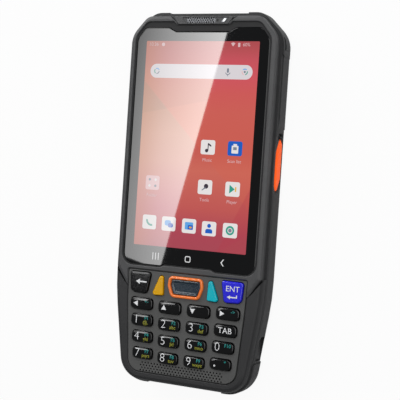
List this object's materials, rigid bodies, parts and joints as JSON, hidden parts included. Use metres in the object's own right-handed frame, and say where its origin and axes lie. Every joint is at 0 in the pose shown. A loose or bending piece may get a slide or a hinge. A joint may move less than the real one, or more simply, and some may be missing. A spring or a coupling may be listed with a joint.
{
  "type": "handheld barcode data terminal",
  "caption": "Handheld barcode data terminal with touch display, pressable keypad, side scan triggers, scan window, hinged port flap and hinged battery cover.",
  "frame": {"origin": "centre of the back face when the terminal lies on its back, under the middle of its bounding box", "axes": "+X to the user's right, +Y from the foot with the keypad to the head with the scan window, +Z out of the display"},
  "size_m": [0.0702, 0.1578, 0.0185],
  "materials": {
    "front_plastic": "fine moulded texture",
    "panel_plastic": "fine moulded texture",
    "rubber_dark": "matte overmoulded rubber",
    "housing_plastic": "moulded, fine spark texture",
    "touch_glass": "polished",
    "seal_black": "matte",
    "display": "lit display",
    "sheet_metal": "stamped",
    "light_guide": "diffusing",
    "orange_plastic": "satin",
    "ring_orange": "satin",
    "key_black": "glossy",
    "key_amber": "glossy",
    "key_teal": "glossy",
    "key_blue": "glossy",
    "key_scan": "glossy",
    "silicone_mat": "moulded silicone",
    "circuit_board": "solder mask",
    "seal_orange": "silicone cord",
    "side_key": "satin",
    "black_plastic": "moulded",
    "window_red": "polished",
    "lens_glass": "polished",
    "flash_diffuser": "diffusing",
    "polyimide": "flexible circuit",
    "gold_contact": "plated",
    "steel": "turned"
  },
  "bodies": {
    "root": {"front_bezel": "front_plastic", "touch_glass": "touch_glass", "glass_seal": "seal_black", "display_panel": "display", "display_frame": "sheet_metal", "earpiece_plate": "front_plastic", "earpiece_receiver": "sheet_metal", "status_light": "light_guide", "keypad_panel": "panel_plastic", "scan_ring": "ring_orange", "key_mat": "silicone_mat", "key_board": "circuit_board", "loudspeaker": "black_plastic", "main_board": "circuit_board", "rear_housing": "housing_plastic", "side_rubber": "rubber_dark", "case_seal": "seal_orange", "side_switches": "sheet_metal", "scan_engine": "black_plastic", "scan_window": "window_red", "camera_module": "black_plastic", "camera_window": "lens_glass", "flash_lens": "flash_diffuser", "antenna_patch": "polyimide", "vibration_motor": "steel", "data_port": "steel", "flap_pin": "steel", "battery_terminals": "gold_contact", "cradle_contacts": "gold_contact", "housing_screws": "steel"},
    "key_back": {"key_back": "key_black"},
    "key_amber": {"key_amber": "key_amber"},
    "key_scan": {"key_scan": "key_scan"},
    "key_teal": {"key_teal": "key_teal"},
    "key_enter": {"key_enter": "key_blue"},
    "key_left": {"key_left": "key_black"},
    "key_up": {"key_up": "key_black"},
    "key_down": {"key_down": "key_black"},
    "key_right": {"key_right": "key_black"},
    "key_1": {"key_1": "key_black"},
    "key_2": {"key_2": "key_black"},
    "key_3": {"key_3": "key_black"},
    "key_tab": {"key_tab": "key_black"},
    "key_4": {"key_4": "key_black"},
    "key_5": {"key_5": "key_black"},
    "key_6": {"key_6": "key_black"},
    "key_0": {"key_0": "key_black"},
    "key_7": {"key_7": "key_black"},
    "key_8": {"key_8": "key_black"},
    "key_9": {"key_9": "key_black"},
    "key_point": {"key_point": "key_black"},
    "trigger_right": {"trigger_right": "orange_plastic"},
    "trigger_left": {"trigger_left": "orange_plastic"},
    "power_key": {"power_key": "side_key"},
    "volume_rocker": {"volume_rocker": "side_key"},
    "port_flap": {"port_flap": "rubber_dark"},
    "battery_cover": {"battery_cover": "housing_plastic", "battery_pack": "black_plastic"},
    "cover_lock_left": {"cover_lock_left": "steel"},
    "cover_lock_right": {"cover_lock_right": "steel"}
  },
  "joints": [
    {"name": "key_back_press", "type": "slide", "parent": "root", "child": "key_back", "axis": [0, 0, -1], "range_m": [0, 0.0006], "stiffness_N_per_m": 400, "springref_m": -0.0003},
    {"name": "key_amber_press", "type": "slide", "parent": "root", "child": "key_amber", "axis": [0, 0, -1], "range_m": [0, 0.0006], "stiffness_N_per_m": 400, "springref_m": -0.0003},
    {"name": "key_scan_press", "type": "slide", "parent": "root", "child": "key_scan", "axis": [0, 0, -1], "range_m": [0, 0.0006], "stiffness_N_per_m": 400, "springref_m": -0.0003},
    {"name": "key_teal_press", "type": "slide", "parent": "root", "child": "key_teal", "axis": [0, 0, -1], "range_m": [0, 0.0006], "stiffness_N_per_m": 400, "springref_m": -0.0003},
    {"name": "key_enter_press", "type": "slide", "parent": "root", "child": "key_enter", "axis": [0, 0, -1], "range_m": [0, 0.0006], "stiffness_N_per_m": 400, "springref_m": -0.0003},
    {"name": "key_left_press", "type": "slide", "parent": "root", "child": "key_left", "axis": [0, 0, -1], "range_m": [0, 0.0006], "stiffness_N_per_m": 400, "springref_m": -0.0003},
    {"name": "key_up_press", "type": "slide", "parent": "root", "child": "key_up", "axis": [0, 0, -1], "range_m": [0, 0.0006], "stiffness_N_per_m": 400, "springref_m": -0.0003},
    {"name": "key_down_press", "type": "slide", "parent": "root", "child": "key_down", "axis": [0, 0, -1], "range_m": [0, 0.0006], "stiffness_N_per_m": 400, "springref_m": -0.0003},
    {"name": "key_right_press", "type": "slide", "parent": "root", "child": "key_right", "axis": [0, 0, -1], "range_m": [0, 0.0006], "stiffness_N_per_m": 400, "springref_m": -0.0003},
    {"name": "key_1_press", "type": "slide", "parent": "root", "child": "key_1", "axis": [0, 0, -1], "range_m": [0, 0.0006], "stiffness_N_per_m": 400, "springref_m": -0.0003},
    {"name": "key_2_press", "type": "slide", "parent": "root", "child": "key_2", "axis": [0, 0, -1], "range_m": [0, 0.0006], "stiffness_N_per_m": 400, "springref_m": -0.0003},
    {"name": "key_3_press", "type": "slide", "parent": "root", "child": "key_3", "axis": [0, 0, -1], "range_m": [0, 0.0006], "stiffness_N_per_m": 400, "springref_m": -0.0003},
    {"name": "key_tab_press", "type": "slide", "parent": "root", "child": "key_tab", "axis": [0, 0, -1], "range_m": [0, 0.0006], "stiffness_N_per_m": 400, "springref_m": -0.0003},
    {"name": "key_4_press", "type": "slide", "parent": "root", "child": "key_4", "axis": [0, 0, -1], "range_m": [0, 0.0006], "stiffness_N_per_m": 400, "springref_m": -0.0003},
    {"name": "key_5_press", "type": "slide", "parent": "root", "child": "key_5", "axis": [0, 0, -1], "range_m": [0, 0.0006], "stiffness_N_per_m": 400, "springref_m": -0.0003},
    {"name": "key_6_press", "type": "slide", "parent": "root", "child": "key_6", "axis": [0, 0, -1], "range_m": [0, 0.0006], "stiffness_N_per_m": 400, "springref_m": -0.0003},
    {"name": "key_0_press", "type": "slide", "parent": "root", "child": "key_0", "axis": [0, 0, -1], "range_m": [0, 0.0006], "stiffness_N_per_m": 400, "springref_m": -0.0003},
    {"name": "key_7_press", "type": "slide", "parent": "root", "child": "key_7", "axis": [0, 0, -1], "range_m": [0, 0.0006], "stiffness_N_per_m": 400, "springref_m": -0.0003},
    {"name": "key_8_press", "type": "slide", "parent": "root", "child": "key_8", "axis": [0, 0, -1], "range_m": [0, 0.0006], "stiffness_N_per_m": 400, "springref_m": -0.0003},
    {"name": "key_9_press", "type": "slide", "parent": "root", "child": "key_9", "axis": [0, 0, -1], "range_m": [0, 0.0006], "stiffness_N_per_m": 400, "springref_m": -0.0003},
    {"name": "key_point_press", "type": "slide", "parent": "root", "child": "key_point", "axis": [0, 0, -1], "range_m": [0, 0.0006], "stiffness_N_per_m": 400, "springref_m": -0.0003},
    {"name": "trigger_right_press", "type": "slide", "parent": "root", "child": "trigger_right", "axis": [-1, 0, 0], "range_m": [0, 0.00075], "stiffness_N_per_m": 800, "springref_m": -0.0003},
    {"name": "trigger_left_press", "type": "slide", "parent": "root", "child": "trigger_left", "axis": [1, 0, 0], "range_m": [0, 0.00075], "stiffness_N_per_m": 800, "springref_m": -0.0003},
    {"name": "power_key_press", "type": "slide", "parent": "root", "child": "power_key", "axis": [1, 0, 0], "range_m": [0, 0.0004], "stiffness_N_per_m": 600, "springref_m": -0.0003},
    {"name": "volume_rocker_tilt", "type": "hinge", "parent": "root", "child": "volume_rocker", "pos_m": [-0.03215, 0.0414, 0.009], "axis": [0, 0, 1], "range_deg": [-2.5, 2.5], "stiffness_Nm_per_rad": 0.09},
    {"name": "port_flap_hinge", "type": "hinge", "parent": "root", "child": "port_flap", "pos_m": [0, -0.07665, 0.005], "axis": [1, 0, 0], "range_deg": [0, 110]},
    {"name": "battery_cover_hinge", "type": "hinge", "parent": "root", "child": "battery_cover", "pos_m": [0, 0.0234, 0.001], "axis": [1, 0, 0], "range_deg": [0, 20]},
    {"name": "cover_lock_left_turn", "type": "hinge", "parent": "battery_cover", "child": "cover_lock_left", "pos_m": [-0.017, -0.063, 0.002], "axis": [0, 0, 1], "range_deg": [0, 90]},
    {"name": "cover_lock_right_turn", "type": "hinge", "parent": "battery_cover", "child": "cover_lock_right", "pos_m": [0.017, -0.063, 0.002], "axis": [0, 0, 1], "range_deg": [0, 90]}
  ]
}
